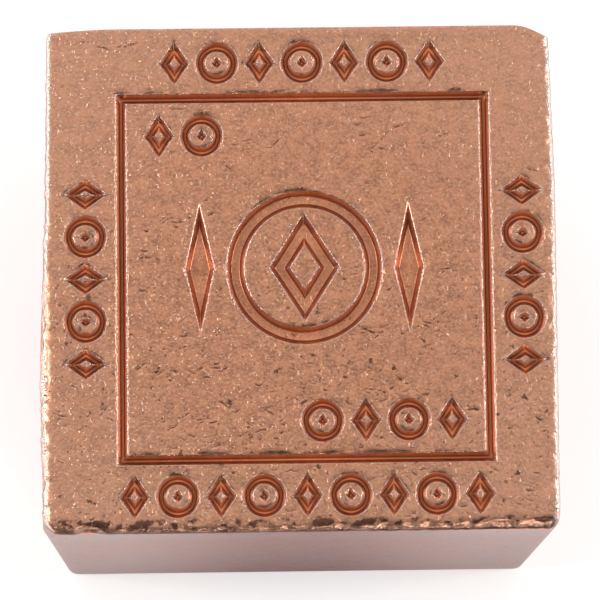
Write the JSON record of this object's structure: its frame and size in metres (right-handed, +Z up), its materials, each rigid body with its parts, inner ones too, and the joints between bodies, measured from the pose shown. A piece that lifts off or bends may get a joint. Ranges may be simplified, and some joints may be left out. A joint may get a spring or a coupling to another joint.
{
  "type": "copper cube",
  "caption": "One-pound cube of cast copper with worn edges, two slightly bowed sides, and a square frame line with ring and lozenge recesses on its top face.",
  "frame": {"origin": "middle of the base, on the surface that the cube stands on", "axes": "+Z up through the marked face, -Y towards the viewer, +X to the viewer's right"},
  "size_m": [0.0376, 0.037, 0.0369],
  "materials": {
    "copper": null
  },
  "bodies": {
    "root": {"copper_cube": "copper"}
  },
  "joints": []
}
